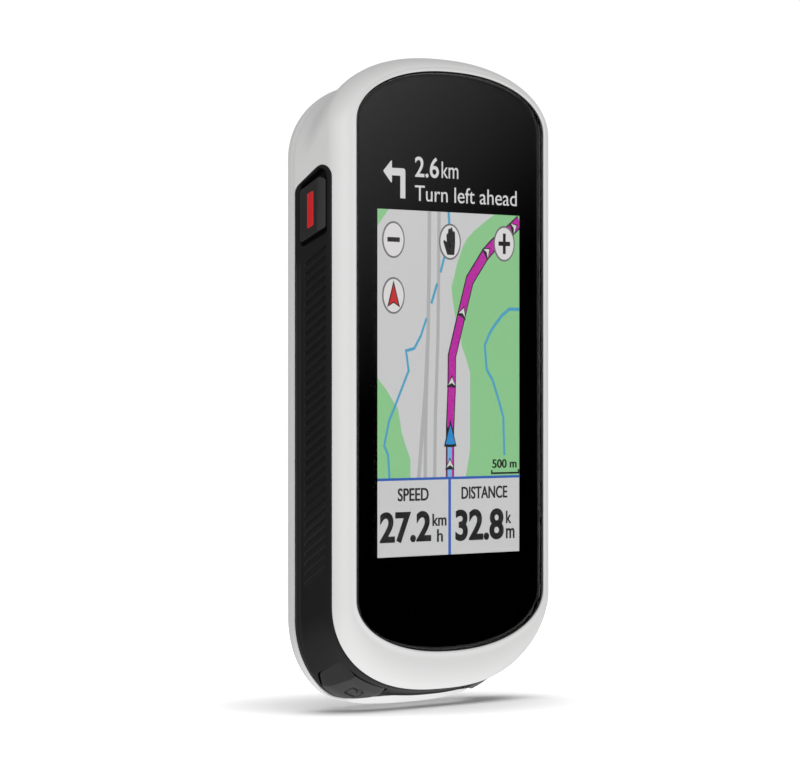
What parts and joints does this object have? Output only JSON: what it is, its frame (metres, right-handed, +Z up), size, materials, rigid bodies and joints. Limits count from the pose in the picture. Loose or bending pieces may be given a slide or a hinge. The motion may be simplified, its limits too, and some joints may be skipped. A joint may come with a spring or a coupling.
{
  "type": "cycling computer",
  "caption": "Handlebar cycling computer with a tall glass front, domed white case, black side band with grip and keys, and a quarter-turn hub on its back.",
  "frame": {"origin": "centre of the outer face of the quarter-turn hub on the back", "axes": "+Z up the upright device, +Y out of its back along the hub axis, -Y out of the cover glass, +X to the right of a rider who looks at the display"},
  "size_m": [0.0589, 0.0216, 0.1057],
  "materials": {
    "white_plastic": "fine satin white moulded plastic",
    "soft_band": "matt black elastomer with a ribbed grip",
    "key_black": "fine textured black plastic",
    "red_mark": "red translucent plastic",
    "cover_glass": "chemically strengthened glass, black printed border",
    "black_rubber": "black rubber and foam",
    "sensor_film": "clear film",
    "display_panel": "polarised panel",
    "light_guide": "white light guide",
    "flex_film": "amber polyimide film",
    "alloy": "cast alloy",
    "steel": "steel and tinned plate",
    "circuit_board": "green solder mask",
    "connector_plastic": "beige connector plastic",
    "antenna_ceramic": "tan ceramic",
    "lead": "red sleeve",
    "contact_metal": "gold plated and brass",
    "hub_plastic": "black glass filled plastic"
  },
  "bodies": {
    "computer": {"front_case": "white_plastic", "rear_case": "white_plastic", "side_band": "soft_band", "cover_glass": "cover_glass", "glass_adhesive": "black_rubber", "touch_sensor": "sensor_film", "display_panel": "display_panel", "backlight": "light_guide", "display_foam": "black_rubber", "display_flex": "flex_film", "touch_flex": "flex_film", "chassis": "alloy", "chassis_screws": "steel", "main_board": "circuit_board", "shield_cans": "steel", "board_screws": "steel", "board_connectors": "connector_plastic", "gnss_antenna": "antenna_ceramic", "radio_antenna": "connector_plastic", "usb_connector": "steel", "usb_seal": "black_rubber", "cap_anchor": "soft_band", "battery": "alloy", "battery_foam": "black_rubber", "battery_lead": "lead", "beeper": "contact_metal", "beeper_vent": "light_guide", "case_seal": "black_rubber", "mount_hub": "hub_plastic", "mount_screws": "steel", "power_contacts": "contact_metal", "contact_flex": "flex_film", "power_seal": "black_rubber", "power_switch": "steel", "lap_seal": "black_rubber", "lap_switch": "steel", "start_seal": "black_rubber", "start_switch": "steel"},
    "power_key": {"power_button": "key_black", "power_mark": "red_mark", "power_stem": "steel", "power_plunger": "light_guide"},
    "lap_key": {"lap_button": "key_black", "lap_stem": "steel", "lap_plunger": "light_guide"},
    "start_key": {"start_button": "key_black", "start_stem": "steel", "start_plunger": "light_guide"},
    "weather_cap": {"usb_cap": "soft_band"}
  },
  "joints": [
    {"name": "power_button_press", "type": "slide", "parent": "computer", "child": "power_key", "axis": [1, 0, 0], "range_m": [0, 0.0006], "stiffness_N_per_m": 1500},
    {"name": "lap_button_press", "type": "slide", "parent": "computer", "child": "lap_key", "axis": [0.3437, 0, 0.9391], "range_m": [0, 0.0006], "stiffness_N_per_m": 1500},
    {"name": "start_button_press", "type": "slide", "parent": "computer", "child": "start_key", "axis": [-0.3437, 0, 0.9391], "range_m": [0, 0.0006], "stiffness_N_per_m": 1500},
    {"name": "usb_cap_hinge", "type": "hinge", "parent": "computer", "child": "weather_cap", "pos_m": [0, -0.0059, -0.0491], "axis": [-1, 0, 0], "range_deg": [0, 100]}
  ]
}
